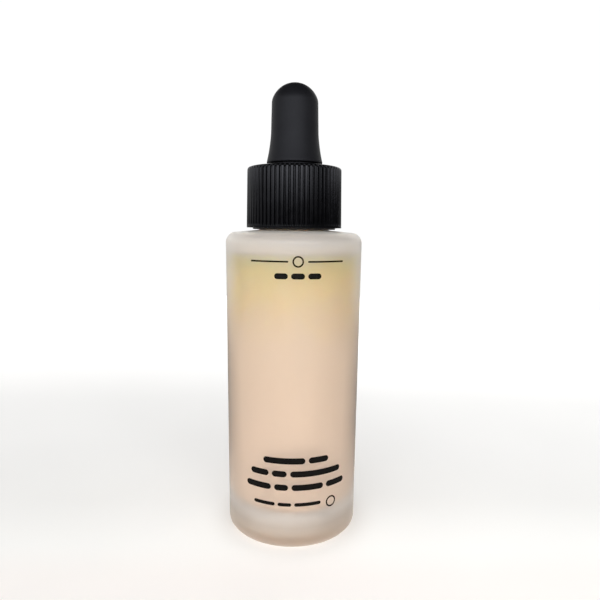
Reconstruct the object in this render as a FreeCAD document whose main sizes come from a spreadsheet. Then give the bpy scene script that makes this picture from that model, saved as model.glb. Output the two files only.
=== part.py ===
import FreeCAD, Part
import math
import os
import re

import Sketcher

# Foundation bottle with a dropper closure, millimetres, +Z up.
# The origin is the centre of the base, on the surface that the bottle stands on.

doc = FreeCAD.newDocument("foundation_bottle")

# ---------------------------------------------------------------- driving sizes
SIZES = {
    # bottle
    "bottle_radius": 16.0,
    "heel_radius": 1.8,
    "shoulder_round": 2.5,
    "shoulder_side_top": 70.2,
    "shoulder_slope": 5.0,
    "shoulder_inner_r": 8.6,
    "bearing_inner_r": 11.6,
    "pushup_r": 10.4,
    "pushup_rise": 0.7,
    "inside_radius": 12.64,
    "inside_base": 7.4,
    "inside_base_round": 3.0,
    "inside_top": 70.1,
    "inside_top_round": 2.2,
    "bore_round": 1.2,
    "neck_root_r": 7.8,
    "neck_foot": 73.75,
    "neck_bore_r": 6.0,
    "neck_top": 83.4,
    "neck_rim_round": 0.4,
    # screw thread, neck and cap
    "thread_pitch": 3.175,
    "thread_turns": 1.5,
    "thread_start": 77.0,
    "thread_root_half": 0.95,
    "thread_crest_half": 0.4,
    "neck_thread_r": 8.5,
    "cap_thread_r": 8.55,
    # contents
    "fill_level": 67.8,
    "fill_gap": 0.03,
    "fill_well_r": 3.75,
    "fill_well_floor": 10.9,
    # neck wiper
    "wiper_flange_r": 7.5,
    "wiper_flange_thick": 0.5,
    "wiper_plug_r": 5.97,
    "wiper_wall": 0.8,
    "wiper_bottom": 77.6,
    "wiper_lip_r": 3.5,
    "wiper_lip_top": 78.9,
    "wiper_lip_thick": 0.5,
    # sealing ring
    "ring_outer_r": 8.2,
    "ring_inner_r": 3.9,
    "ring_thick": 0.6,
    # pipette
    "pipette_r": 3.4,
    "pipette_bore_r": 2.5,
    "pipette_tip": 11.5,
    "pipette_tip_r": 1.6,
    "pipette_tip_bore": 0.85,
    "pipette_taper_low": 14.0,
    "pipette_taper_top": 24.0,
    "pipette_top": 92.0,
    "bead_low": 86.9,
    "bead_top": 88.3,
    "bead_round": 0.85,
    # bulb
    "bulb_grip_gap": 0.03,
    "bulb_flange_r": 8.2,
    "bulb_flange_thick": 1.0,
    "bulb_neck_r": 5.9,
    "bulb_skirt_low": 88.45,
    "bulb_skirt_r": 6.4,
    "bulb_skirt_top": 88.85,
    "bulb_flare_top": 94.8,
    "bulb_flare_r": 5.44,
    "bulb_flare_round": 34.0,
    "bulb_side_top": 101.3,
    "bulb_side_r": 5.27,
    "bulb_shoulder_z": 102.561,
    "bulb_shoulder_r": 4.992,
    "bulb_shoulder_round": 3.0,
    "bulb_dome_round": 5.502,
    "bulb_top": 105.75,
    "bulb_wall": 1.2,
    "bulb_cavity_low": 89.3,
    # inner cap
    "cap_outer_r": 9.7,
    "cap_bore_r": 9.15,
    "cap_low": 73.35,
    "cap_plate": 1.0,
    "cap_hole_r": 6.0,
    "snap_z": 80.5,
    "snap_half": 0.7,
    "snap_rise": 0.22,
    # outer shell
    "shell_gap": 0.05,
    "shell_low": 73.7,
    "shell_low_r": 11.12,
    "shell_top": 87.35,
    "shell_top_r": 10.87,
    "shell_corner": 0.7,
    "shell_hole_r": 6.15,
    "rib_count": 66,
    "rib_cut_r": 0.30,
    "rib_cut_in": 0.08,
    "rib_low": 74.35,
    "rib_high": 86.75,
}

sheet = doc.addObject("Spreadsheet::Sheet", "Sizes")
for line, (alias, number) in enumerate(SIZES.items(), start=1):
    sheet.set("A%d" % line, alias)
    sheet.set("B%d" % line, str(number))
    sheet.setAlias("B%d" % line, alias)
doc.recompute()


def total(text):
    """The number and the sheet expression of a sum such as 'neck_top - 0.5'."""
    value, words, sign = 0.0, [], 1.0
    for word in text.split():
        if word in ("+", "-"):
            sign = 1.0 if word == "+" else -1.0
            words.append(word)
            continue
        if re.match(r"^[0-9.]+$", word):
            number = float(word)
            words.append(word)
        else:
            number = SIZES[word]
            words.append("Sizes." + word)
        value += sign * number
        sign = 1.0
    return value, " ".join(words)


def plane_of(body, role):
    return [f for f in body.Origin.OriginFeatures if f.Role == role][0]


def outline(body, name, steps):
    """A closed sketch in the body's XZ plane, radius across and height up.

    steps holds (radius, height, edge) for each corner, each a sum of sheet names.
    edge says how the line goes on to the next corner: None is straight, and
    (radius, side) is an arc whose centre lies to the left (+1) or right (-1).
    A third entry, "domed", puts the arc's centre on the axis."""
    sketch = body.newObject("Sketcher::SketchObject", name)
    sketch.AttachmentSupport = [(plane_of(body, "XZ_Plane"), "")]
    sketch.MapMode = "FlatFace"
    points = [(total(r), total(z)) for r, z, _ in steps]
    count = len(steps)
    for i in range(count):
        (x0, _), (y0, _) = points[i]
        (x1, _), (y1, _) = points[(i + 1) % count]
        a, b = FreeCAD.Vector(x0, y0, 0), FreeCAD.Vector(x1, y1, 0)
        edge = steps[i][2]
        if edge is None:
            sketch.addGeometry(Part.LineSegment(a, b), False)
            continue
        radius, side = total(edge[0])[0], edge[1]
        chord = b - a
        half = chord.Length / 2
        left = FreeCAD.Vector(-chord.y, chord.x, 0).normalize()
        rise = math.sqrt(max(radius**2 - half**2, 0.0))
        centre = (a + b) * 0.5 + left * (side * rise)
        middle = centre + left * (-side * radius)
        # a sketch keeps its arcs anticlockwise
        first, last = (a, b) if side > 0 else (b, a)
        sketch.addGeometry(Part.Arc(first, middle, last), False)
    # an arc's first and last points, in the order in which the outline is walked
    ends = []
    for edge in [step[2] for step in steps]:
        ends.append((2, 1) if edge is not None and edge[1] < 0 else (1, 2))
    for i in range(count):
        j = (i + 1) % count
        sketch.addConstraint(
            Sketcher.Constraint("Coincident", i, ends[i][1], j, ends[j][0])
        )
    for i in range(count):
        (x0, across), (y0, up) = points[i]
        if abs(x0) < 1e-9:
            sketch.addConstraint(
                Sketcher.Constraint("PointOnObject", i, ends[i][0], -2)
            )
        else:
            n = sketch.addConstraint(
                Sketcher.Constraint("DistanceX", -1, 1, i, ends[i][0], x0)
            )
            sketch.renameConstraint(n, "across%d" % i)
            sketch.setExpression("Constraints.across%d" % i, across)
        if abs(y0) < 1e-9:
            sketch.addConstraint(
                Sketcher.Constraint("PointOnObject", i, ends[i][0], -1)
            )
        else:
            n = sketch.addConstraint(
                Sketcher.Constraint("DistanceY", -1, 1, i, ends[i][0], y0)
            )
            sketch.renameConstraint(n, "up%d" % i)
            sketch.setExpression("Constraints.up%d" % i, up)
        edge = steps[i][2]
        if edge is not None and len(edge) == 3:
            # a dome: its centre is on the axis, which settles its radius
            sketch.addConstraint(Sketcher.Constraint("PointOnObject", i, 3, -2))
        elif edge is not None:
            value, text = total(edge[0])
            n = sketch.addConstraint(Sketcher.Constraint("Radius", i, value))
            sketch.renameConstraint(n, "round%d" % i)
            sketch.setExpression("Constraints.round%d" % i, text)
    return sketch


def new_body(label):
    body = doc.addObject("PartDesign::Body", label)
    body.Label = label
    return body


def turned(body, name, steps):
    """The solid of revolution of an outline about the Z axis."""
    sketch = outline(body, name + "_outline", steps)
    doc.recompute()
    feature = body.newObject("PartDesign::Revolution", name)
    feature.Profile = sketch
    feature.ReferenceAxis = (sketch, ["V_Axis"])
    feature.Angle = 360.0
    feature.Midplane = False
    feature.Reversed = False
    body.Tip = feature
    doc.recompute()
    return feature


def thread(body, name, steps):
    """A screw thread: an outline swept along a right-hand helix about the Z axis."""
    sketch = outline(body, name + "_outline", steps)
    doc.recompute()
    feature = body.newObject("PartDesign::AdditiveHelix", name)
    feature.Profile = sketch
    feature.ReferenceAxis = (sketch, ["V_Axis"])
    feature.Mode = 0
    feature.Pitch = SIZES["thread_pitch"]
    feature.Turns = SIZES["thread_turns"]
    feature.Height = SIZES["thread_pitch"] * SIZES["thread_turns"]
    feature.setExpression("Pitch", "Sizes.thread_pitch")
    feature.setExpression("Turns", "Sizes.thread_turns")
    feature.LeftHanded = False
    feature.Reversed = False
    body.Tip = feature
    doc.recompute()
    return feature


# ---------------------------------------------------------------- glass bottle
# The shoulder's round meets the gently sloping top of the shoulder at a tangent.
slope = math.radians(SIZES["shoulder_slope"])
tangent_r = SIZES["bottle_radius"] - SIZES["shoulder_round"] * (1 - math.sin(slope))
tangent_z = SIZES["shoulder_side_top"] + SIZES["shoulder_round"] * math.cos(slope)
shoulder_rise = (tangent_r - SIZES["shoulder_inner_r"]) * math.tan(slope)

bottle = new_body("glass_bottle")
turned(
    bottle,
    "bottle_wall",
    [
        ("0", "pushup_rise", None),
        ("pushup_r", "pushup_rise", None),
        ("bearing_inner_r", "0", None),
        ("bottle_radius - heel_radius", "0", ("heel_radius", 1)),
        ("bottle_radius", "heel_radius", None),
        ("bottle_radius", "shoulder_side_top", ("shoulder_round", 1)),
        ("%.5f" % tangent_r, "%.5f" % tangent_z, None),
        ("shoulder_inner_r", "%.5f" % (tangent_z + shoulder_rise), None),
        ("neck_root_r", "neck_foot", None),
        ("neck_root_r", "neck_top - neck_rim_round", ("neck_rim_round", 1)),
        ("neck_root_r - neck_rim_round", "neck_top", None),
        ("neck_bore_r", "neck_top", None),
        ("neck_bore_r", "inside_top + bore_round", ("bore_round", -1)),
        ("neck_bore_r + bore_round", "inside_top", None),
        ("inside_radius - inside_top_round", "inside_top", ("inside_top_round", -1)),
        ("inside_radius", "inside_top - inside_top_round", None),
        ("inside_radius", "inside_base + inside_base_round", ("inside_base_round", -1)),
        ("inside_radius - inside_base_round", "inside_base", None),
        ("0", "inside_base", None),
    ],
)
# The neck's thread stands out from its root; its inner edge is buried in the wall.
thread(
    bottle,
    "neck_thread",
    [
        ("neck_root_r - 0.15", "thread_start - thread_root_half", None),
        ("neck_root_r", "thread_start - thread_root_half", None),
        ("neck_thread_r", "thread_start - thread_crest_half", None),
        ("neck_thread_r", "thread_start + thread_crest_half", None),
        ("neck_root_r", "thread_start + thread_root_half", None),
        ("neck_root_r - 0.15", "thread_start + thread_root_half", None),
    ],
)

# ---------------------------------------------------------------- the liquid
# A closed solid of the liquid's shape, with a straight well round the pipette.
fill = new_body("foundation_fill")
turned(
    fill,
    "liquid",
    [
        ("fill_well_r", "fill_level", None),
        ("fill_well_r", "fill_well_floor", None),
        ("0", "fill_well_floor", None),
        ("0", "inside_base + fill_gap", None),
        ("inside_radius - inside_base_round", "inside_base + fill_gap",
         ("inside_base_round - fill_gap", 1)),
        ("inside_radius - fill_gap", "inside_base + inside_base_round", None),
        ("inside_radius - fill_gap", "fill_level", None),
    ],
)

# ---------------------------------------------------------------- neck wiper
# A flange on the neck's rim, a tubular plug in the bore and a lip round the pipette.
wiper = new_body("neck_wiper")
turned(
    wiper,
    "wiper",
    [
        ("wiper_plug_r - wiper_wall", "neck_top + wiper_flange_thick", None),
        ("wiper_plug_r - wiper_wall", "wiper_lip_top", None),
        ("wiper_lip_r", "wiper_bottom + wiper_lip_thick", None),
        ("wiper_lip_r", "wiper_bottom", None),
        ("wiper_lip_r + wiper_lip_thick", "wiper_bottom", None),
        ("wiper_plug_r", "wiper_lip_top - wiper_lip_thick", None),
        ("wiper_plug_r", "neck_top", None),
        ("wiper_flange_r", "neck_top", None),
        ("wiper_flange_r", "neck_top + wiper_flange_thick", None),
    ],
)

# ---------------------------------------------------------------- sealing ring
disc = doc.addObject("Part::Cylinder", "ring_disc")
disc.setExpression("Radius", "Sizes.ring_outer_r")
disc.setExpression("Height", "Sizes.ring_thick")
disc.setExpression(
    "Placement.Base.z", "Sizes.neck_top + Sizes.wiper_flange_thick"
)
eye = doc.addObject("Part::Cylinder", "ring_eye")
eye.setExpression("Radius", "Sizes.ring_inner_r")
eye.setExpression("Height", "Sizes.ring_thick + 2")
eye.setExpression(
    "Placement.Base.z", "Sizes.neck_top + Sizes.wiper_flange_thick - 1"
)
ring = doc.addObject("Part::Cut", "ring_cut")
ring.Base = disc
ring.Tool = eye
ring.Label = "sealing_ring"

# ---------------------------------------------------------------- pipette
# A glass tube drawn down to a tip, with a bead that the bulb's neck grips.
pipette = new_body("glass_pipette")
turned(
    pipette,
    "tube",
    [
        ("pipette_bore_r", "pipette_top", None),
        ("pipette_bore_r", "pipette_taper_top", None),
        ("pipette_tip_bore", "pipette_taper_low", None),
        ("pipette_tip_bore", "pipette_tip", None),
        ("pipette_tip_r", "pipette_tip", None),
        ("pipette_tip_r", "pipette_taper_low", None),
        ("pipette_r", "pipette_taper_top", None),
        ("pipette_r", "bead_low", ("bead_round", 1)),
        ("pipette_r", "bead_top", None),
        ("pipette_r", "pipette_top", None),
    ],
)

# ---------------------------------------------------------------- rubber bulb
# Flange under the cap's plate, neck through the cap, skirt over it, thin-walled teat.
bulb = new_body("rubber_bulb")
turned(
    bulb,
    "teat",
    [
        ("pipette_r + bulb_grip_gap", "neck_top + wiper_flange_thick + ring_thick", None),
        ("bulb_flange_r", "neck_top + wiper_flange_thick + ring_thick", None),
        ("bulb_flange_r",
         "neck_top + wiper_flange_thick + ring_thick + bulb_flange_thick", None),
        ("bulb_neck_r",
         "neck_top + wiper_flange_thick + ring_thick + bulb_flange_thick", None),
        ("bulb_neck_r", "bulb_skirt_low", None),
        ("bulb_skirt_r - 0.15", "bulb_skirt_low", None),
        ("bulb_skirt_r", "bulb_skirt_low + 0.15", None),
        ("bulb_skirt_r", "bulb_skirt_top", ("bulb_flare_round", -1)),
        ("bulb_flare_r", "bulb_flare_top", None),
        ("bulb_side_r", "bulb_side_top", ("bulb_shoulder_round", 1)),
        ("bulb_shoulder_r", "bulb_shoulder_z", ("bulb_dome_round", 1, "domed")),
        ("0", "bulb_top", None),
        ("0", "bulb_top - bulb_wall", ("bulb_dome_round - bulb_wall", -1, "domed")),
        ("bulb_shoulder_r - 1.0888", "bulb_shoulder_z - 0.5046",
         ("bulb_shoulder_round - bulb_wall", -1)),
        ("bulb_side_r - bulb_wall", "bulb_side_top", None),
        ("bulb_flare_r - bulb_wall", "bulb_cavity_low", None),
        ("pipette_r + bulb_grip_gap", "bulb_cavity_low - 0.5", None),
        ("pipette_r + bulb_grip_gap", "bead_top", ("bead_round", -1)),
        ("pipette_r + bulb_grip_gap", "bead_low", None),
    ],
)

# ---------------------------------------------------------------- inner threaded cap
cap = new_body("inner_threaded_cap")
turned(
    cap,
    "cap_wall",
    [
        ("cap_hole_r", "shell_top - 0.85", None),
        ("cap_hole_r", "shell_top - 0.85 - cap_plate", None),
        ("cap_bore_r", "shell_top - 0.85 - cap_plate", None),
        ("cap_bore_r", "cap_low + 0.15", None),
        ("cap_bore_r + 0.15", "cap_low", None),
        ("cap_outer_r - 0.15", "cap_low", None),
        ("cap_outer_r", "cap_low + 0.15", None),
        ("cap_outer_r", "snap_z - snap_half", None),
        ("cap_outer_r + snap_rise", "snap_z", None),
        ("cap_outer_r", "snap_z + snap_half", None),
        ("cap_outer_r", "shell_top - 0.85 - 0.4", None),
        ("cap_outer_r - 0.4", "shell_top - 0.85", None),
    ],
)
thread(
    cap,
    "cap_thread",
    [
        ("cap_bore_r + 0.15", "thread_start - thread_root_half - 1.5875", None),
        ("cap_bore_r + 0.15", "thread_start + thread_root_half - 1.5875", None),
        ("cap_bore_r", "thread_start + thread_root_half - 1.5875", None),
        ("cap_thread_r", "thread_start + thread_crest_half - 1.5875", None),
        ("cap_thread_r", "thread_start - thread_crest_half - 1.5875", None),
        ("cap_bore_r", "thread_start - thread_root_half - 1.5875", None),
    ],
)

# ---------------------------------------------------------------- outer ribbed shell
shell = new_body("outer_ribbed_shell")
turned(
    shell,
    "shell_wall",
    [
        ("shell_hole_r", "shell_top", None),
        ("shell_hole_r", "shell_top - 0.8", None),
        ("cap_outer_r + shell_gap", "shell_top - 0.8", None),
        ("cap_outer_r + shell_gap", "snap_z + snap_half", None),
        ("cap_outer_r + shell_gap + snap_rise", "snap_z", None),
        ("cap_outer_r + shell_gap", "snap_z - snap_half", None),
        ("cap_outer_r + shell_gap", "shell_low", None),
        ("shell_low_r - 0.12", "shell_low", None),
        ("shell_low_r", "shell_low + 0.12", None),
        ("shell_top_r", "shell_top - shell_corner", ("shell_corner", 1)),
        ("shell_top_r - shell_corner", "shell_top", None),
    ],
)
# One rounded flute, which follows the shell's taper, and then the whole ring of them.
flute = shell.newObject("Sketcher::SketchObject", "flute_outline")
flute.AttachmentSupport = [(plane_of(shell, "XY_Plane"), "")]
flute.MapMode = "FlatFace"
flute.AttachmentOffset = FreeCAD.Placement(
    FreeCAD.Vector(0, 0, SIZES["rib_low"]), FreeCAD.Rotation()
)
flute.setExpression("AttachmentOffset.Base.z", "Sizes.rib_low")
centre = SIZES["shell_low_r"] - SIZES["rib_cut_in"]
flute.addGeometry(
    Part.Circle(FreeCAD.Vector(centre, 0, 0), FreeCAD.Vector(0, 0, 1), SIZES["rib_cut_r"]),
    False,
)
n = flute.addConstraint(Sketcher.Constraint("PointOnObject", 0, 3, -1))
n = flute.addConstraint(Sketcher.Constraint("DistanceX", -1, 1, 0, 3, centre))
flute.renameConstraint(n, "out")
flute.setExpression("Constraints.out", "Sizes.shell_low_r - Sizes.rib_cut_in")
n = flute.addConstraint(Sketcher.Constraint("Radius", 0, SIZES["rib_cut_r"]))
flute.renameConstraint(n, "size")
flute.setExpression("Constraints.size", "Sizes.rib_cut_r")
doc.recompute()
before = shell.Shape.Volume
cut = shell.newObject("PartDesign::Pocket", "flute")
cut.Profile = flute
cut.Type = 0
cut.UseCustomVector = True
cut.Direction = FreeCAD.Vector(
    SIZES["shell_top_r"] - SIZES["shell_low_r"], 0, SIZES["shell_top"] - SIZES["shell_low"]
)
cut.AlongSketchNormal = True
cut.Length = SIZES["rib_high"] - SIZES["rib_low"]
cut.setExpression("Length", "Sizes.rib_high - Sizes.rib_low")
shell.Tip = cut
doc.recompute()
print("one flute takes %.2f mm3" % (before - shell.Shape.Volume))
ribs = shell.newObject("PartDesign::PolarPattern", "flutes")
ribs.Originals = [cut]
ribs.Axis = (flute, ["N_Axis"])
ribs.Angle = 360.0
ribs.Occurrences = int(SIZES["rib_count"])
ribs.setExpression("Occurrences", "Sizes.rib_count")
shell.Tip = ribs
doc.recompute()
print("all flutes take %.2f mm3" % (before - shell.Shape.Volume))

# ---------------------------------------------------------------- check and write
doc.recompute()
for thing in doc.Objects:
    if "Invalid" in thing.State or "Error" in thing.State:
        raise RuntimeError("%s is %s" % (thing.Label, thing.State))

pieces = [bottle, fill, wiper, ring, pipette, bulb, cap, shell]
for piece in pieces:
    shape = piece.Shape
    if shape.isNull() or not shape.isValid() or len(shape.Solids) != 1:
        raise RuntimeError("%s has no valid solid" % piece.Label)
    print("%-20s %9.1f mm3  z %.2f to %.2f" % (
        piece.Label, shape.Volume, shape.BoundBox.ZMin, shape.BoundBox.ZMax))

os.makedirs("parts", exist_ok=True)
for piece in pieces:
    piece.Shape.exportStep("parts/%s.step" % piece.Label)
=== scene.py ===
import bpy
import math
import numpy as np
from mathutils import Matrix, Vector


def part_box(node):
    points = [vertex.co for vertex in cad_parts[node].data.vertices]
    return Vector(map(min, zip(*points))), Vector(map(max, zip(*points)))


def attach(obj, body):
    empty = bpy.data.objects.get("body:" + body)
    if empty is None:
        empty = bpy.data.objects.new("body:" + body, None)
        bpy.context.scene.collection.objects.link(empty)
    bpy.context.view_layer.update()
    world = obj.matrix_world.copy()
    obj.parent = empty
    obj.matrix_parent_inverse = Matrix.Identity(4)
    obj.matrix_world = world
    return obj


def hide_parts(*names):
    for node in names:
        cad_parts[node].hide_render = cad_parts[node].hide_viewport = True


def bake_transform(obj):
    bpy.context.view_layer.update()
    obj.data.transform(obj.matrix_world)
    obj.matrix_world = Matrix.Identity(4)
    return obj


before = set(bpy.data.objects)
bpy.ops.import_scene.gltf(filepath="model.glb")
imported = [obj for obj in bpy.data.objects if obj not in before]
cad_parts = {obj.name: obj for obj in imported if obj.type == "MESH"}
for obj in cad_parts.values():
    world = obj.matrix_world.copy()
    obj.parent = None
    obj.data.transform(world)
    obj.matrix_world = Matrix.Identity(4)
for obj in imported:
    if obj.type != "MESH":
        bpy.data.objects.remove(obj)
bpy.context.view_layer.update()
scene = bpy.context.scene
MM = 0.001

# ---------------------------------------------------------------- sizes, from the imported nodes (mm)
glass_lo, glass_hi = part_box("glass_bottle")
shell_lo, shell_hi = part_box("outer_ribbed_shell")
cap_lo, cap_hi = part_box("inner_threaded_cap")
bulb_lo, bulb_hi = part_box("rubber_bulb")
tube_lo, tube_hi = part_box("glass_pipette")
fill_lo, fill_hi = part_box("foundation_fill")
ring_lo, ring_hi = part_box("sealing_ring")
wiper_lo, wiper_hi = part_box("neck_wiper")

R = glass_hi.x / MM                 # bottle radius
NECK_TOP = glass_hi.z / MM
FILL_TOP = fill_hi.z / MM
FILL_LOW = fill_lo.z / MM
SHELL_LOW, SHELL_TOP = shell_lo.z / MM, shell_hi.z / MM
CAP_LOW, CAP_TOP = cap_lo.z / MM, cap_hi.z / MM
BULB_LOW, BULB_TOP = bulb_lo.z / MM, bulb_hi.z / MM
TIP, TUBE_TOP = tube_lo.z / MM, tube_hi.z / MM
INSIDE_BASE = FILL_LOW - 0.03
BASE_ROUND = 3.0


# ---------------------------------------------------------------- camera
F, PX, PY = 539.0, 300.0, 330.0      # focal length and principal point for a frame 600 wide
PITCH, ROLL, YAW = 0.1907, 0.0111, 0.0130
cam_data = bpy.data.cameras.new("camera")
cam = bpy.data.objects.new("camera", cam_data)
scene.collection.objects.link(cam)
cam_data.sensor_width = 36.0
cam_data.lens = 36.0 * F / 600.0
cam_data.shift_x = (300.0 - PX) / 600.0
cam_data.shift_y = (PY - 300.0) / 600.0
cam_data.clip_start, cam_data.clip_end = 0.005, 20.0
fwd = Vector((math.sin(YAW) * math.cos(PITCH), math.cos(YAW) * math.cos(PITCH), -math.sin(PITCH)))
flat = Vector((math.cos(YAW), -math.sin(YAW), 0))
lift = flat.cross(fwd)
across = math.cos(ROLL) * flat + math.sin(ROLL) * lift
upward = -math.sin(ROLL) * flat + math.cos(ROLL) * lift
pose = Matrix((across, upward, -fwd)).transposed().to_4x4()
pose.translation = Vector((0, -0.12960, 0.07417))
cam.matrix_world = pose
scene.camera = cam


# ---------------------------------------------------------------- mesh helpers
def rounded(corners, closed=True, fine=6):
    """A profile of (r, z, radius) corners, each rounded to its radius, as (r, z) points."""
    out = []
    count = len(corners)
    for i, (r, z, rad) in enumerate(corners):
        here = Vector((r, z))
        if rad <= 0 or (not closed and i in (0, count - 1)):
            out.append((r, z))
            continue
        a = Vector(corners[i - 1][:2]) - here
        b = Vector(corners[(i + 1) % count][:2]) - here
        la, lb = a.length, b.length
        a, b = a / la, b / lb
        half = a.angle(b) / 2
        if half > math.pi / 2 - 0.01:
            out.append((r, z))
            continue
        cut = min(rad / math.tan(half), la * 0.499, lb * 0.499)
        real = cut * math.tan(half)
        centre = here + (a + b).normalized() * (real / math.sin(half))
        p, q = here + a * cut - centre, here + b * cut - centre
        sweep = p.angle(q)
        turn = 1 if p.x * q.y - p.y * q.x > 0 else -1
        steps = max(2, int(math.ceil(sweep / math.radians(90) * fine)))
        for k in range(steps + 1):
            t = turn * sweep * k / steps
            c, s = math.cos(t), math.sin(t)
            out.append((centre.x + c * p.x - s * p.y, centre.y + s * p.x + c * p.y))
    return out


def arc(centre, radius, start, end, steps):
    """Points on an arc, angles in degrees."""
    return [
        (
            centre[0] + radius * math.cos(math.radians(start + (end - start) * k / steps)),
            centre[1] + radius * math.sin(math.radians(start + (end - start) * k / steps)),
        )
        for k in range(steps + 1)
    ]


def refine(points, step, z0=-1e9, z1=1e9):
    """The same closed profile, with long edges between z0 and z1 divided."""
    out = []
    for i, p in enumerate(points):
        q = points[(i + 1) % len(points)]
        out.append(p)
        d = math.dist(p, q)
        if d > step and min(p[1], q[1]) >= z0 and max(p[1], q[1]) <= z1:
            n = int(math.ceil(d / step))
            out += [
                (p[0] + (q[0] - p[0]) * k / n, p[1] + (q[1] - p[1]) * k / n)
                for k in range(1, n)
            ]
    return out


def lathe(name, profile, segments=192, shift=None, sharp=38, closed=True, pick=None):
    """A mesh turned about the Z axis from a closed profile in mm, walked so that the solid is on its left.
    shift(angle, r, z) gives a new r; pick(r, z) gives a face's material index."""
    verts, faces, kinds = [], [], []
    rows = []
    for r, z in profile:
        if r < 1e-6:
            rows.append([len(verts)])
            verts.append((0, 0, z * MM))
            continue
        first = len(verts)
        for k in range(segments):
            a = 2 * math.pi * k / segments
            rr = shift(a, r, z) if shift else r
            verts.append((rr * math.cos(a) * MM, rr * math.sin(a) * MM, z * MM))
        rows.append(list(range(first, first + segments)))
    count = len(rows)
    for i in range(count if closed else count - 1):
        a, b = rows[i], rows[(i + 1) % count]
        if len(a) == 1 and len(b) == 1:
            continue
        p, q = profile[i], profile[(i + 1) % count]
        kind = pick((p[0] + q[0]) / 2, (p[1] + q[1]) / 2) if pick else 0
        for k in range(segments):
            m = (k + 1) % segments
            if len(a) == 1:
                faces.append((a[0], b[m], b[k]))
            elif len(b) == 1:
                faces.append((a[k], a[m], b[0]))
            else:
                faces.append((a[k], a[m], b[m], b[k]))
            kinds.append(kind)
    mesh = bpy.data.meshes.new(name)
    mesh.from_pydata(verts, [], faces)
    mesh.polygons.foreach_set("material_index", kinds)
    mesh.polygons.foreach_set("use_smooth", [True] * len(mesh.polygons))
    mesh.update()
    if sharp:
        mesh.set_sharp_from_angle(angle=math.radians(sharp))
    obj = bpy.data.objects.new(name, mesh)
    scene.collection.objects.link(obj)
    return obj


# ---------------------------------------------------------------- material helpers
def material(name):
    m = bpy.data.materials.new(name)
    m.use_nodes = True
    t = m.node_tree
    b = t.nodes["Principled BSDF"]
    return m, t, b


def node(tree, kind, **values):
    n = tree.nodes.new(kind)
    for key, value in values.items():
        if hasattr(n, key):
            setattr(n, key, value)
        else:
            n.inputs[key].default_value = value
    return n


def coords(tree):
    return node(tree, "ShaderNodeTexCoord").outputs["Object"]


def noise(tree, scale, detail=3.0, rough=0.5, vector=None):
    n = node(tree, "ShaderNodeTexNoise")
    n.inputs["Scale"].default_value = scale
    n.inputs["Detail"].default_value = detail
    n.inputs["Roughness"].default_value = rough
    tree.links.new(vector if vector is not None else coords(tree), n.inputs["Vector"])
    return n


def bump(tree, bsdf, height, strength, distance):
    n = node(tree, "ShaderNodeBump")
    n.inputs["Strength"].default_value = strength
    n.inputs["Distance"].default_value = distance
    tree.links.new(height, n.inputs["Height"])
    tree.links.new(n.outputs["Normal"], bsdf.inputs["Normal"])
    return n


def ramp(tree, fac, stops, interpolation="LINEAR"):
    n = node(tree, "ShaderNodeValToRGB")
    n.color_ramp.interpolation = interpolation
    e = n.color_ramp.elements
    while len(e) < len(stops):
        e.new(0.5)
    for item, (at, colour) in zip(e, stops):
        item.position = at
        item.color = (*colour, 1.0)
    tree.links.new(fac, n.inputs["Fac"])
    return n


def map_range(tree, value, a, b, c, d):
    n = node(tree, "ShaderNodeMapRange")
    n.inputs["From Min"].default_value = a
    n.inputs["From Max"].default_value = b
    n.inputs["To Min"].default_value = c
    n.inputs["To Max"].default_value = d
    tree.links.new(value, n.inputs["Value"])
    return n


def math_node(tree, operation, *values, clamp=False):
    n = tree.nodes.new("ShaderNodeMath")
    n.operation = operation
    n.use_clamp = clamp
    for k, v in enumerate(values):
        if isinstance(v, (int, float)):
            n.inputs[k].default_value = v
        else:
            tree.links.new(v, n.inputs[k])
    return n.outputs["Value"]


def smooth(tree, value, a, b, c, d):
    n = map_range(tree, value, a, b, c, d)
    n.interpolation_type = "SMOOTHSTEP"
    return n.outputs["Result"]


def lin(r, g, b):
    """An sRGB colour, 0 to 255, as linear values."""
    return tuple(
        (x / 255 / 12.92) if x <= 10 else ((x / 255 + 0.055) / 1.055) ** 2.4
        for x in (r, g, b)
    )


# frosted glass, outside: acid-etched, so rough, with a very fine grain
m_frost, t, b = material("frosted_glass_outside")
split = node(t, "ShaderNodeSeparateXYZ")
t.links.new(coords(t), split.inputs["Vector"])
# over the heel, the lowest 8 mm, the frost is tinted darker and warmer: painted shade and painted warm light from
# the liquid carried down into the base
height = map_range(t, split.outputs["Z"], 0.0, 0.0080, 0.0, 1.0)
tone = ramp(
    t,
    height.outputs["Result"],
    [(0.0, (0.97, 0.89, 0.81)), (0.05, (0.93, 0.81, 0.71)), (0.18, (0.80, 0.65, 0.53)), (0.40, (0.71, 0.62, 0.52)), (0.68, (0.66, 0.60, 0.53)), (1.0, (0.88, 0.85, 0.81))],
)
# glass seen edge on is darker beside the opaque liquid, milkier above; the darkening, from about 8 to 59 mm up
# and most from 28 to 38 mm, is painted shade on the liquid's unlit flanks
facing = node(t, "ShaderNodeLayerWeight")
facing.inputs["Blend"].default_value = 0.5
edge = ramp(
    t,
    facing.outputs["Facing"],
    [(0.0, (0.0,) * 3), (0.42, (0.0,) * 3), (0.61, (0.42,) * 3), (0.83, (0.86,) * 3), (1.0, (1.0,) * 3)],
)
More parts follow.
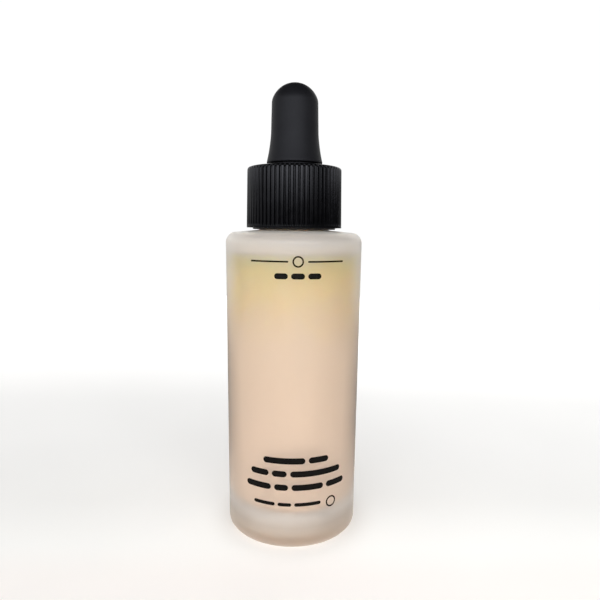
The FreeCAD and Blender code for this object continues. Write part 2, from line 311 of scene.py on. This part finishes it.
# these two height masks limit the painted edge shade to about 8 to 59 mm up
beside = smooth(t, split.outputs["Z"], 0.038, 0.059, 0.64, 0.0)
foot = smooth(t, split.outputs["Z"], 0.008, 0.028, 0.0, 1.0)
depth = math_node(t, "MULTIPLY", math_node(t, "MULTIPLY", edge.outputs["Color"], beside), foot)
painted_edge_shade = node(t, "ShaderNodeMix", data_type="RGBA", blend_type="MIX")
t.links.new(depth, painted_edge_shade.inputs[0])
t.links.new(tone.outputs["Color"], painted_edge_shade.inputs[6])
painted_edge_shade.inputs[7].default_value = (0.0, 0.0, 0.0, 1)
t.links.new(painted_edge_shade.outputs[2], b.inputs["Base Color"])
whole = map_range(t, split.outputs["Z"], 0.0, 0.085, 0.0, 1.0)
dry = ramp(
    t,
    whole.outputs["Result"],
    [(0.0, (0.84,) * 3), (0.080, (0.84,) * 3), (0.105, (0.90,) * 3), (0.775, (0.90,) * 3), (0.83, (0.64,) * 3)],
)
milky = math_node(t, "MULTIPLY", edge.outputs["Color"], smooth(t, split.outputs["Z"], 0.048, 0.064, 0.0, 0.50))
t.links.new(math_node(t, "MULTIPLY", dry.outputs["Color"], math_node(t, "SUBTRACT", 1.0, milky)), b.inputs["Transmission Weight"])
b.inputs["Specular IOR Level"].default_value = 0.25
b.inputs["Roughness"].default_value = 0.42
b.inputs["IOR"].default_value = 1.5
g = noise(t, 5200.0, 2.0, 0.6)
bump(t, b, g.outputs["Fac"], 0.10, 0.00003)

# the bottle's inside: smooth moulded glass
m_inner, t, b = material("bottle_glass_inside")
b.inputs["Base Color"].default_value = (0.97, 0.965, 0.95, 1)
b.inputs["Transmission Weight"].default_value = 1.0
b.inputs["Roughness"].default_value = 0.08
b.inputs["IOR"].default_value = 1.5
g = noise(t, 140.0, 2.0, 0.5)
bump(t, b, g.outputs["Fac"], 0.08, 0.0002)

# where the liquid has wetted the wall above its level: a thin uneven film
m_film, t, b = material("wetted_glass_inside")
g = noise(t, 210.0, 3.0, 0.55)
tone = ramp(t, g.outputs["Fac"], [(0.3, lin(232, 212, 190)), (0.7, lin(242, 228, 210))])
t.links.new(tone.outputs["Color"], b.inputs["Base Color"])
thin = map_range(t, g.outputs["Fac"], 0.3, 0.7, 0.25, 0.5)
t.links.new(thin.outputs["Result"], b.inputs["Transmission Weight"])
b.inputs["Roughness"].default_value = 0.35
b.inputs["IOR"].default_value = 1.5

# clear drawn glass of the pipette
m_clear, t, b = material("clear_tube_glass")
b.inputs["Base Color"].default_value = (0.985, 0.99, 0.985, 1)
b.inputs["Transmission Weight"].default_value = 1.0
b.inputs["Roughness"].default_value = 0.02
b.inputs["IOR"].default_value = 1.48
stretch = node(t, "ShaderNodeMapping")
stretch.inputs["Scale"].default_value = (1.0, 1.0, 0.05)
t.links.new(coords(t), stretch.inputs["Vector"])
g = noise(t, 500.0, 2.0, 0.5, stretch.outputs["Vector"])
bump(t, b, g.outputs["Fac"], 0.06, 0.0001)

# the liquid: a cream that has separated a little, yellower and clearer at the top
m_fill, t, b = material("foundation_liquid")
place = coords(t)
split = node(t, "ShaderNodeSeparateXYZ")
t.links.new(place, split.inputs["Vector"])
cloud = noise(t, 110.0, 4.0, 0.6)
wander = node(t, "ShaderNodeMath", operation="MULTIPLY_ADD")
t.links.new(cloud.outputs["Fac"], wander.inputs[0])
wander.inputs[1].default_value = 0.018
t.links.new(split.outputs["Z"], wander.inputs[2])
level = map_range(t, wander.outputs["Value"], 0.005, 0.075, 0.0, 1.0)
tone = ramp(
    t,
    level.outputs["Result"],
    [
        (0.0, lin(245, 216, 192)),
        (0.45, lin(249, 222, 197)),
        (0.74, lin(250, 224, 196)),
        (0.84, lin(249, 223, 184)),
        (0.93, lin(247, 221, 158)),
        (1.0, lin(246, 221, 148)),
    ],
)
drift = node(t, "ShaderNodeMapping")
drift.inputs["Scale"].default_value = (1.0, 1.0, 0.35)
t.links.new(place, drift.inputs["Vector"])
swirl = noise(t, 75.0, 3.0, 0.5, drift.outputs["Vector"])
shade = ramp(t, swirl.outputs["Fac"], [(0.35, (0.955, 0.95, 0.94)), (0.65, (1.0, 1.0, 1.0))])
mix = node(t, "ShaderNodeMix", data_type="RGBA", blend_type="MULTIPLY")
mix.inputs[0].default_value = 1.0
t.links.new(tone.outputs["Color"], mix.inputs[6])
t.links.new(shade.outputs["Color"], mix.inputs[7])
t.links.new(mix.outputs[2], b.inputs["Base Color"])
b.inputs["Roughness"].default_value = 0.28
deep = smooth(t, wander.outputs["Value"], 0.056, 0.070, 0.0, 0.9)
t.links.new(deep, b.inputs["Subsurface Weight"])
b.inputs["Subsurface Radius"].default_value = (1.0, 0.8, 0.4)
b.inputs["Subsurface Scale"].default_value = 0.015
b.inputs["IOR"].default_value = 1.42

# the same liquid drawn up into the pipette, well mixed
m_dose, t, b = material("foundation_drawn_up")
g = noise(t, 160.0, 3.0, 0.5)
tone = ramp(t, g.outputs["Fac"], [(0.3, lin(238, 208, 176)), (0.7, lin(245, 217, 188))])
t.links.new(tone.outputs["Color"], b.inputs["Base Color"])
b.inputs["Roughness"].default_value = 0.28

# white polyethylene of the wiper, and the softer foam of the seal
m_wiper, t, b = material("wiper_polyethylene")
g = noise(t, 900.0, 3.0, 0.6)
tone = ramp(t, g.outputs["Fac"], [(0.3, lin(226, 226, 221)), (0.7, lin(238, 238, 234))])
t.links.new(tone.outputs["Color"], b.inputs["Base Color"])
b.inputs["Roughness"].default_value = 0.38
b.inputs["Subsurface Weight"].default_value = 0.25
b.inputs["Subsurface Radius"].default_value = (0.0008, 0.0008, 0.0007)
bump(t, b, g.outputs["Fac"], 0.15, 0.00004)

m_seal, t, b = material("seal_foam")
g = noise(t, 2600.0, 4.0, 0.7)
tone = ramp(t, g.outputs["Fac"], [(0.35, lin(206, 206, 200)), (0.65, lin(232, 232, 227))])
t.links.new(tone.outputs["Color"], b.inputs["Base Color"])
b.inputs["Roughness"].default_value = 0.75
bump(t, b, g.outputs["Fac"], 0.5, 0.00008)

# soft-touch rubber
m_rubber, t, b = material("soft_touch_rubber")
g = noise(t, 260.0, 4.0, 0.6)
tone = ramp(t, g.outputs["Fac"], [(0.3, (0.0036, 0.0037, 0.0048)), (0.7, (0.0054, 0.0055, 0.0068))])
t.links.new(tone.outputs["Color"], b.inputs["Base Color"])
b.inputs["Roughness"].default_value = 0.52
b.inputs["Specular IOR Level"].default_value = 0.165
b.inputs["Specular Tint"].default_value = (0.88, 0.90, 1.0, 1)
fine = noise(t, 7000.0, 2.0, 0.7)
bump(t, b, fine.outputs["Fac"], 0.22, 0.00003)

# satin moulded plastic of the ribbed shell
m_shell, t, b = material("satin_shell_plastic")
g = noise(t, 420.0, 4.0, 0.6)
tone = ramp(t, g.outputs["Fac"], [(0.3, (0.0009, 0.0009, 0.0012)), (0.7, (0.0018, 0.0018, 0.0023))])
t.links.new(tone.outputs["Color"], b.inputs["Base Color"])
shine = map_range(t, g.outputs["Fac"], 0.3, 0.7, 0.09, 0.14)
t.links.new(shine.outputs["Result"], b.inputs["Roughness"])
b.inputs["Specular IOR Level"].default_value = 0.19
b.inputs["Specular Tint"].default_value = (0.88, 0.90, 1.0, 1)
fine = noise(t, 5200.0, 2.0, 0.6)
bump(t, b, fine.outputs["Fac"], 0.05, 0.00003)

# glossier plastic of the cap inside it
m_cap, t, b = material("inner_cap_plastic")
g = noise(t, 300.0, 3.0, 0.5)
tone = ramp(t, g.outputs["Fac"], [(0.3, (0.007, 0.007, 0.008)), (0.7, (0.010, 0.010, 0.011))])
t.links.new(tone.outputs["Color"], b.inputs["Base Color"])
shine = map_range(t, g.outputs["Fac"], 0.3, 0.7, 0.28, 0.36)
t.links.new(shine.outputs["Result"], b.inputs["Roughness"])
bump(t, b, g.outputs["Fac"], 0.12, 0.00008)

# screen-printed black ink
m_ink, t, b = material("screen_print_ink")
g = noise(t, 3000.0, 3.0, 0.6)
tone = ramp(t, g.outputs["Fac"], [(0.3, (0.0018, 0.0015, 0.0012)), (0.7, (0.0040, 0.0035, 0.0030))])
t.links.new(tone.outputs["Color"], b.inputs["Base Color"])
b.inputs["Roughness"].default_value = 0.5
b.inputs["Specular IOR Level"].default_value = 0.09
bump(t, b, g.outputs["Fac"], 0.3, 0.00002)

# ---------------------------------------------------------------- the bottle
PITCH_MM, TURNS, THREAD_START = 3.175, 1.5, NECK_TOP - 6.4


def ridge(angle, z, start, turns, half_root, half_crest):
    """How far up the thread's flank a point is, 0 on the root and 1 on the crest."""
    best = 0.0
    at = angle / (2 * math.pi)
    for k in range(-1, int(turns) + 2):
        along = at + k
        if not -0.06 <= along <= turns + 0.06:
            continue
        off = abs(z - (start + PITCH_MM * along))
        height = 1.0 if off <= half_crest else max(0.0, (half_root - off) / (half_root - half_crest))
        fade = min(1.0, (along + 0.06) / 0.10, (turns + 0.06 - along) / 0.10)
        best = max(best, height * max(0.0, fade))
    return best * best * (3 - 2 * best)


slope = math.radians(5.0)
SIDE_TOP, ROUND = 70.2, 2.5
shoulder = arc((R - ROUND, SIDE_TOP), ROUND, 0, 85, 14)
end_r, end_z = shoulder[-1]
foot_z = end_z + (end_r - 8.6) * math.tan(slope)
outer = (
    arc((R - 1.8, 1.8), 1.8, -90, 0, 12)
    + shoulder
    + [(r, end_z + (end_r - r) * math.tan(slope)) for r in (12.4, 11.2, 10.2, 9.4, 8.9)]
    + [(8.6, foot_z), (8.25, foot_z + 0.08), (7.98, foot_z + 0.26), (7.84, foot_z + 0.5), (7.8, foot_z + 0.8)]
)
outer += [(7.8, z) for z in np.arange(foot_z + 0.95, NECK_TOP - 0.5, 0.15)]
outer += arc((7.4, NECK_TOP - 0.4), 0.4, 0, 90, 5)
inner = arc((6.3, NECK_TOP - 0.3), 0.3, 90, 180, 4)
inner += [(6.0, z) for z in np.arange(NECK_TOP - 2, 71.4, -1.6)]
inner += arc((7.2, 71.3), 1.2, 180, 270, 8)
inner += arc((12.64 - 2.2, 70.1 - 2.2), 2.2, 90, 0, 10)
inner += [(12.64, z) for z in np.arange(66, 14, -4)]
inner += arc((12.64 - BASE_ROUND, INSIDE_BASE + BASE_ROUND), BASE_ROUND, 0, -90, 12)
inner += [(6, INSIDE_BASE), (3, INSIDE_BASE), (0, INSIDE_BASE)]
under = [(0, 0.7), (5, 0.7), (9.6, 0.7)] + arc((9.6, 0.1), 0.6, 90, 60, 3) + [(11.2, 0.06), (11.6, 0.0)]
profile = under + outer + inner


def bottle_shift(angle, r, z):
    if abs(r - 7.8) < 1e-6 and z > foot_z + 0.8:
        return r + 0.7 * ridge(angle, z, THREAD_START, TURNS, 0.95, 0.4)
    return r


def is_inside(r, z):
    if (r < 6.35 and z > 71) or (INSIDE_BASE - 0.1 < z < 71.35 and r < 12.7):
        return 2 if FILL_TOP - 0.5 < z < 73 else 1
    return 0


bottle = lathe("bottle_glass", profile, 256, bottle_shift, 40, pick=is_inside)
bottle.data.materials.append(m_frost)
bottle.data.materials.append(m_inner)
bottle.data.materials.append(m_film)
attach(bottle, "bottle")
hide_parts("glass_bottle")

# ---------------------------------------------------------------- the liquid
lap = 0.012                          # wets the glass: no air film between them
side = 12.64 + lap
low = INSIDE_BASE - lap
profile = [(0, low), (5, low)]
profile += arc((side - BASE_ROUND, low + BASE_ROUND), BASE_ROUND, -90, 0, 12)
profile += [(side, z) for z in np.arange(12, FILL_TOP - 1, 4)]
profile += [(side, FILL_TOP + 0.25), (side - 0.12, FILL_TOP + 0.12), (side - 0.35, FILL_TOP + 0.04)]
profile += [(side - 0.9, FILL_TOP), (6, FILL_TOP), (3, FILL_TOP), (0, FILL_TOP)]
fill = lathe("foundation_liquid", profile, 192, None, 50)
fill.data.materials.append(m_fill)
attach(fill, "bottle")
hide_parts("foundation_fill")

# ---------------------------------------------------------------- wiper and seal
zt, zl = wiper_hi.z / MM, wiper_lo.z / MM
profile = rounded(
    [
        (3.5, zl, 0.1), (4.0, zl, 0.15), (5.97, zl + 0.8, 0.3), (5.97, NECK_TOP, 0.05),
        (7.5, NECK_TOP, 0.12), (7.5, zt, 0.15), (5.17, zt, 0.25), (5.17, zl + 1.3, 0.4),
        (3.5, zl + 0.5, 0.1),
    ]
)
wiper = lathe("wiper_plug", profile, 128, None, 45)
wiper.data.materials.append(m_wiper)
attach(wiper, "bottle")
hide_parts("neck_wiper")

z0, z1 = ring_lo.z / MM, ring_hi.z / MM
profile = rounded([(3.9, z0, 0.1), (8.2, z0, 0.18), (8.2, z1, 0.18), (3.9, z1, 0.1)])
seal = lathe("seal_gasket", profile, 128, None, 50)
seal.data.materials.append(m_seal)
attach(seal, "liner")
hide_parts("sealing_ring")

# ---------------------------------------------------------------- pipette
half = math.degrees(math.asin(0.7 / 0.85))
bead_c = 3.4 - 0.85 * math.cos(math.radians(half))
profile = rounded(
    [(0.85, TIP, 0.18), (1.6, TIP, 0.3), (1.6, TIP + 2.5, 2.0), (3.4, TIP + 12.5, 6.0)], closed=False, fine=14
)
profile[0:1] = [(0.98, TIP)]
profile += [(3.4, z) for z in np.arange(30, 86, 6)]
profile += arc((bead_c, 87.6), 0.85, -half, half, 8)
profile += [(3.4, TUBE_TOP - 0.45)] + arc((2.95, TUBE_TOP - 0.45), 0.45, 0, 180, 10)
profile += [(2.5, z) for z in np.arange(84, 26, -8)]
profile += rounded(
    [(2.5, 26.0, 0), (2.5, TIP + 12.5, 5.0), (0.85, TIP + 2.5, 2.0), (0.85, TIP + 0.15, 0)], closed=False, fine=14
)
tube = lathe("pipette_tube", profile, 96, None, 50)
tube.data.materials.append(m_clear)
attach(tube, "dropper")
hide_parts("glass_pipette")

# what the pipette holds, up to the level in the bottle
profile = [(0, TIP + 0.4), (0.6, TIP + 0.35), (0.84, TIP + 0.6)]
profile += [(0.84, TIP + 2.4), (0.95, TIP + 3.3), (2.4, TIP + 12.0), (2.49, TIP + 13.2)]
profile += [(2.49, z) for z in np.arange(30, FILL_TOP - 2, 6)]
profile += [(2.49, FILL_TOP + 0.5), (2.2, FILL_TOP + 0.2), (1.6, FILL_TOP), (0, FILL_TOP)]
dose = lathe("pipette_contents", profile, 64, None, 50)
dose.data.materials.append(m_dose)
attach(dose, "dropper")

# ---------------------------------------------------------------- rubber bulb
z0 = BULB_LOW
skirt = 88.2
outer = [(3.43, z0 + 0.08), (3.55, z0)]
outer += rounded([(3.6, z0, 0), (8.2, z0, 0.15), (8.2, z0 + 1.0, 0.15), (5.7, z0 + 1.0, 0.12), (5.7, skirt, 0.1),
                  (6.4, skirt, 0.2), (6.4, skirt + 0.55, 0)], closed=False, fine=8)[1:]
flare = []
for k in range(0, 21):
    u = k / 20
    z = (skirt + 0.4) + u * (94.8 - skirt - 0.4)
    chord = 6.4 + (5.44 - 6.4) * u
    sag = 0.134 * 4 * u * (1 - u)
    flare.append((chord - sag, z))
outer = [p for p in outer if p[1] <= skirt + 0.35] + flare
outer += [(5.44 + (5.27 - 5.44) * (z - 94.8) / 6.5, z) for z in np.arange(95.6, 101.2, 0.8)]
outer += arc((2.27, 101.3), 3.0, 0, 24.86, 6)
outer += arc((0, 100.248), 5.502, 26.5, 90, 20)[:-1] + [(0, BULB_TOP)]
inner = [(0, BULB_TOP - 1.2)] + arc((0, 100.248), 4.302, 86, 26, 14)
inner += arc((2.27, 101.3), 1.8, 24.86, 0, 5)
inner += [(4.07 + 0.17 * (101.3 - z) / 12, z) for z in np.arange(100.4, 89.5, -0.9)]
inner += [(4.24, 89.3), (4.05, 88.95), (3.43, 88.75), (3.43, 88.32)]
inner += [(r + 0.03, z) for r, z in arc((bead_c, 87.6), 0.85, half, -half, 8)]
inner += [(3.43, 86.2), (3.43, 85.4)]
profile = outer + inner
bulb = lathe("bulb_teat", profile, 160, None, 50)
bulb.data.materials.append(m_rubber)
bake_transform(bulb)
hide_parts("rubber_bulb")

# ---------------------------------------------------------------- inner cap
bore, crest = 9.15, 8.55
snap = 80.5
profile = rounded(
    [
        (bore + 0.02, CAP_LOW, 0.12), (9.7, CAP_LOW, 0.18), (9.7, snap - 0.7, 0), (9.92, snap, 0.2),
        (9.7, snap + 0.7, 0), (9.7, CAP_TOP, 0.35), (6.0, CAP_TOP, 0.1), (6.0, CAP_TOP - 1.0, 0.1),
        (bore, CAP_TOP - 1.0, 0.3),
    ]
)
top = max(i for i, p in enumerate(profile) if abs(p[0] - bore) < 0.02 and p[1] > 84)
bore_rows = [(bore, z) for z in np.arange(84.9, CAP_LOW + 0.3, -0.15)]
profile = profile[: top + 1] + bore_rows + profile[top + 1:]


def cap_shift(angle, r, z):
    if abs(r - bore) < 1e-6 and CAP_LOW + 0.25 < z < 85:
        return r - 0.6 * ridge(angle, z, THREAD_START - PITCH_MM / 2, TURNS, 0.95, 0.4)
    return r


cap = lathe("cap_liner_screw", profile, 160, cap_shift, 45)
cap.data.materials.append(m_cap)
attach(cap, "collar")
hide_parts("inner_threaded_cap")

# ---------------------------------------------------------------- ribbed shell
RIBS, PER = 66, 14
low_r, top_r, corner = 11.12, 10.87, 0.7
rib_low, rib_high = 74.35, 86.75
taper = (top_r - low_r) / (SHELL_TOP - corner - SHELL_LOW)


def wall_r(z):
    return low_r + taper * (z - SHELL_LOW)


inside = 9.75
outer = [(low_r - 0.09, SHELL_LOW), (low_r - 0.025, SHELL_LOW + 0.025), (low_r, SHELL_LOW + 0.09)]
rows = [SHELL_LOW + 0.25, rib_low - 0.12, rib_low - 0.10, rib_low - 0.06, rib_low - 0.02, rib_low + 0.02, rib_low + 0.06, rib_low + 0.10, rib_low + 0.14, rib_low + 0.5]
rows += list(np.arange(rib_low + 1.2, rib_high - 1.0, 1.0)) + [86.0, 86.25, 86.45, 86.6]
outer += [(wall_r(z), z) for z in rows]
outer += arc((top_r - corner, SHELL_TOP - corner), corner, 0, 90, 12)
outer += [(9.4, SHELL_TOP), (8.4, SHELL_TOP), (7.4, SHELL_TOP)] + rounded(
    [(7.0, SHELL_TOP, 0), (6.15, SHELL_TOP, 0.15), (6.15, SHELL_TOP - 0.8, 0.1), (7.2, SHELL_TOP - 0.8, 0)], closed=False
)
outer += [(inside, SHELL_TOP - 0.8), (inside, snap + 0.7), (inside + 0.22, snap), (inside, snap - 0.7), (inside, SHELL_LOW + 0.12), (inside + 0.12, SHELL_LOW)]


def rib_shift(angle, r, z):
    """Flutes cut to 0.38 mm deep, with rounded edges to the ribs, run out at both ends."""
    if r < 10.2 or z < rib_low - 0.1:
        return r
    fade = min(1.0, max(0.0, (z - (rib_low - 0.1)) / 0.2))
    up = min(1.0, max(0.0, (SHELL_TOP - 0.12 - z) / 0.55))
    fade = fade * fade * (3 - 2 * fade) * up * up * (3 - 2 * up)
    pitch = 2 * math.pi / RIBS
    off = abs((angle / pitch) % 1.0 - 0.5) * 2           # 0 in a flute's middle, 1 on a rib's middle
    width = 0.54
    if off >= width:
        return r
    u = off / width
    depth = 0.38 * (1 - u * u) ** 0.8
    return r - depth * fade


shell = lathe("collar_shell", outer, RIBS * PER, rib_shift, 42)
shell.data.materials.append(m_shell)
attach(shell, "collar")
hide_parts("outer_ribbed_shell")

# ---------------------------------------------------------------- print: plain generic rules
CENTRE = 0.95


def bar(verts, faces, u0, u1, z0, z1, tilt=0.0):
    """A thin bar with round ends, wrapped on the bottle: u along the surface, z up."""
    rad = (z1 - z0) / 2
    mid = (z0 + z1) / 2
    us = [u0 + rad - rad * math.cos(math.pi / 2 * k / 6) for k in range(7)]
    n = max(1, int((u1 - u0 - 2 * rad) / 0.3))
    us += [u0 + rad + (u1 - u0 - 2 * rad) * k / n for k in range(1, n)]
    us += [u1 - rad + rad * math.sin(math.pi / 2 * k / 6) for k in range(7)]
    loop_top, loop_low = [], []
    for u in us:
        e = max(0.0, u0 + rad - u, u - (u1 - rad))
        hgt = math.sqrt(max(rad * rad - e * e, (rad * 0.04) ** 2))
        loop_top.append((u, mid + hgt))
        loop_low.append((u, mid - hgt))
    first = len(verts)
    for rr in (R + 0.004, R + 0.03):
        for u, z in loop_low + loop_top:
            a = u / R
            verts.append((rr * math.sin(a) * MM, -rr * math.cos(a) * MM, z * MM))
    m = len(us)
    inn, out = first, first + 2 * m
    for k in range(m - 1):
        faces.append((out + k, out + k + 1, out + m + k + 1, out + m + k))
        faces.append((inn + k, inn + m + k, inn + m + k + 1, inn + k + 1))
        faces.append((inn + k, inn + k + 1, out + k + 1, out + k))
        faces.append((inn + m + k, out + m + k, out + m + k + 1, inn + m + k + 1))
    faces.append((inn, out, out + m, inn + m))
    faces.append((inn + m - 1, inn + 2 * m - 1, out + 2 * m - 1, out + m - 1))


def hoop(verts, faces, u, z, radius, wide):
    n = 48
    first = len(verts)
    for rr in (R + 0.004, R + 0.03):
        for rad in (radius - wide / 2, radius + wide / 2):
            for k in range(n):
                t = 2 * math.pi * k / n
                a = (u + rad * math.cos(t)) / R
                verts.append((rr * math.sin(a) * MM, -rr * math.cos(a) * MM, (z + rad * math.sin(t)) * MM))
    i0, i1, o0, o1 = first, first + n, first + 2 * n, first + 3 * n
    for k in range(n):
        m = (k + 1) % n
        faces.append((o0 + k, o1 + k, o1 + m, o0 + m))
        faces.append((i0 + k, i0 + m, i1 + m, i1 + k))
        faces.append((i1 + k, i1 + m, o1 + m, o1 + k))
        faces.append((i0 + k, o0 + k, o0 + m, i0 + m))


def line_of(verts, faces, u0, u1, z, height, words, gap):
    """One rule broken into lengths, with gaps between."""
    total = sum(words)
    room = (u1 - u0) - gap * (len(words) - 1)
    at = u0
    for w in words:
        length = room * w / total
        bar(verts, faces, at, at + length, z - height / 2, z + height / 2)
        at += length + gap


verts, faces = [], []
bar(verts, faces, CENTRE - 10.7, CENTRE - 2.1, 66.59, 66.95)
bar(verts, faces, CENTRE + 2.1, CENTRE + 10.7, 66.59, 66.95)
hoop(verts, faces, CENTRE, 66.77, 1.05, 0.34)
line_of(verts, faces, CENTRE - 5.1, CENTRE + 5.1, 63.7, 1.25, [1, 1, 1], 0.7)
line_of(verts, faces, -6.7, 8.7, 22.05, 1.45, [10, 5], 0.8)
line_of(verts, faces, -10.0, 12.2, 18.9, 1.45, [4, 3, 11], 0.8)
line_of(verts, faces, -11.3, 13.6, 15.6, 1.45, [6, 3, 7, 5], 0.8)
line_of(verts, faces, -9.2, 6.9, 11.4, 0.85, [5, 3, 6], 0.7)
hoop(verts, faces, 9.7, 11.0, 1.2, 0.36)
mesh = bpy.data.meshes.new("print_rules")
mesh.from_pydata(verts, [], faces)
mesh.validate()
mesh.update()
ink = bpy.data.objects.new("print_rules", mesh)
scene.collection.objects.link(ink)
ink.data.materials.append(m_ink)
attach(ink, "bottle")

# ---------------------------------------------------------------- floor, backdrop and light
m_floor, t, b = material("pale_floor")
place = coords(t)
split = node(t, "ShaderNodeSeparateXYZ")
t.links.new(place, split.inputs["Vector"])
grain = noise(t, 30.0, 3.0, 0.5)
tone = ramp(t, grain.outputs["Fac"], [(0.3, lin(228, 227, 225)), (0.7, lin(232, 231, 229))])
t.links.new(tone.outputs["Color"], b.inputs["Base Color"])
# the floor's glow is painted light and shade: warmer in front, darker across the floor at and just behind the
# bottle, brighter far behind it
depth = map_range(t, split.outputs["Y"], -0.15, 0.35, 0.0, 1.0)
glow = ramp(
    t,
    depth.outputs["Result"],
    [
        (0.0, (0.43, 0.40, 0.385)),
        (0.25, (0.43, 0.40, 0.385)),
        (0.27, (0.43, 0.43, 0.42)),
        (0.315, (0.34, 0.34, 0.335)),
        (0.382, (0.37, 0.37, 0.37)),
        (0.488, (0.42, 0.42, 0.42)),
        (0.56, (0.52, 0.52, 0.52)),
        (0.66, (0.66, 0.66, 0.66)),
        (0.76, (0.84, 0.84, 0.84)),
    ],
)
t.links.new(glow.outputs["Color"], b.inputs["Emission Color"])
# round the bottle the floor's glow is painted: for the camera it drops to 0.75 within 15 to 23 mm, a painted
# contact shadow; for other rays it drops to 0.25 beneath the bottle, painted shade, and is raised to 0.95 within
# 18 mm, fading by 36 mm, a painted pool of light for the heel to reflect
flat = node(t, "ShaderNodeVectorMath", operation="LENGTH")
t.links.new(place, flat.inputs[0])
path = node(t, "ShaderNodeLightPath")
seen_glow_painted_shadow = smooth(t, flat.outputs["Value"], 0.0150, 0.0230, 0.75, 1.0)
under = smooth(t, flat.outputs["Value"], 0.0110, 0.0150, 0.25, 1.0)
painted_glow_pool = smooth(t, flat.outputs["Value"], 0.018, 0.036, 0.95, 0.30)
other_glow = math_node(t, "MULTIPLY", under, math_node(t, "MAXIMUM", math_node(t, "MULTIPLY", path.outputs["Is Transmission Ray"], 0.9), painted_glow_pool))
direct = path.outputs["Is Camera Ray"]
strength = math_node(
    t,
    "ADD",
    math_node(t, "MULTIPLY", direct, seen_glow_painted_shadow),
    math_node(t, "MULTIPLY", math_node(t, "SUBTRACT", 1.0, direct), other_glow),
)
# the floor's glow is weaker on the left, 0.88 against 1.08 on the right: painted shade
tilt = smooth(t, split.outputs["X"], -0.08, 0.08, 0.88, 1.08)
t.links.new(math_node(t, "MULTIPLY", strength, tilt), b.inputs["Emission Strength"])
b.inputs["Roughness"].default_value = 0.8
b.inputs["Specular IOR Level"].default_value = 0.0
rim = [(0.45 * math.cos(2 * math.pi * k / 96), 0.45 * math.sin(2 * math.pi * k / 96), 0) for k in range(96)]
mesh = bpy.data.meshes.new("floor")
mesh.from_pydata(rim, [], [tuple(range(96))])
floor = bpy.data.objects.new("floor", mesh)
scene.collection.objects.link(floor)
floor.data.materials.append(m_floor)

world = bpy.data.worlds.new("studio")
scene.world = world
world.use_nodes = True
wt = world.node_tree
bg = wt.nodes["Background"]


# for the light: a bright band low in front, dimmer sides (the right one darkest), a dim ceiling
# and a white sweep behind; what the camera sees directly is plain white all round
way = node(wt, "ShaderNodeTexCoord").outputs["Generated"]
d = node(wt, "ShaderNodeSeparateXYZ")
wt.links.new(way, d.inputs["Vector"])
facing = node(wt, "ShaderNodeVectorMath", operation="DOT_PRODUCT")
wt.links.new(way, facing.inputs[0])
facing.inputs[1].default_value = (-math.sin(math.radians(9)), -math.cos(math.radians(9)), 0)
front = smooth(wt, facing.outputs["Value"], 0.18, 0.95, 0.0, 1.0)
back = smooth(wt, d.outputs["Y"], 0.55, 0.92, 0.0, 1.0)
side = smooth(wt, d.outputs["X"], -0.8, 0.8, 1.15, 0.80)
above = smooth(wt, d.outputs["Z"], 0.060, 0.155, 0.0, 1.0)
below_top = smooth(wt, d.outputs["Z"], 0.68, 0.32, 0.0, 1.0)
ahead = math_node(wt, "MULTIPLY", math_node(wt, "MULTIPLY", front, math_node(wt, "SUBTRACT", 5.2, side)), above)
leftward = smooth(wt, d.outputs["X"], -0.20, -0.75, 0.0, 1.0)
low_left = math_node(wt, "MULTIPLY", leftward, smooth(wt, d.outputs["Z"], -0.02, 0.06, 0.0, 0.5))
beside = math_node(wt, "MULTIPLY", side, math_node(wt, "MAXIMUM", above, low_left))
band = math_node(wt, "MULTIPLY", math_node(wt, "ADD", ahead, beside), below_top)
base = math_node(wt, "ADD", band, 0.05)
path = node(wt, "ShaderNodeLightPath")
glance = smooth(wt, d.outputs["Z"], 0.50, 0.15, 0.0, 0.25)
sweep = math_node(wt, "MULTIPLY", path.outputs["Is Transmission Ray"], smooth(wt, d.outputs["X"], -0.45, 0.45, 0.95, 1.35))
through = math_node(wt, "MAXIMUM", sweep, glance)
lit = math_node(wt, "MAXIMUM", base, math_node(wt, "MULTIPLY", back, through))
seen = path.outputs["Is Camera Ray"]
level = math_node(wt, "ADD", math_node(wt, "MULTIPLY", lit, math_node(wt, "SUBTRACT", 1.0, seen)), math_node(wt, "MULTIPLY", seen, 1.02))
wt.links.new(level, bg.inputs["Strength"])
bg.inputs["Color"].default_value = (1, 1, 1, 1)


def area(name, at, to, size, power, colour=(1, 1, 1)):
    data = bpy.data.lights.new(name, "AREA")
    data.shape = "RECTANGLE"
    data.size, data.size_y = size
    data.energy = power
    data.color = colour
    o = bpy.data.objects.new(name, data)
    scene.collection.objects.link(o)
    o.location = at
    o.rotation_euler = (Vector(to) - Vector(at)).to_track_quat("-Z", "Y").to_euler()
    o.visible_camera = False
    return o


area("window", (0.05, -0.80, 0.38), (0, 0, 0.06), (1.1, 0.36), 1.8)
area("behind", (0.15, 0.75, 0.45), (0, 0, 0.05), (0.8, 0.4), 0.9)

scene.view_settings.view_transform = "Standard"
scene.cycles.use_denoising = True
scene.cycles.max_bounces = 16
scene.cycles.transmission_bounces = 16
scene.cycles.caustics_refractive = True
scene.cycles.caustics_reflective = True
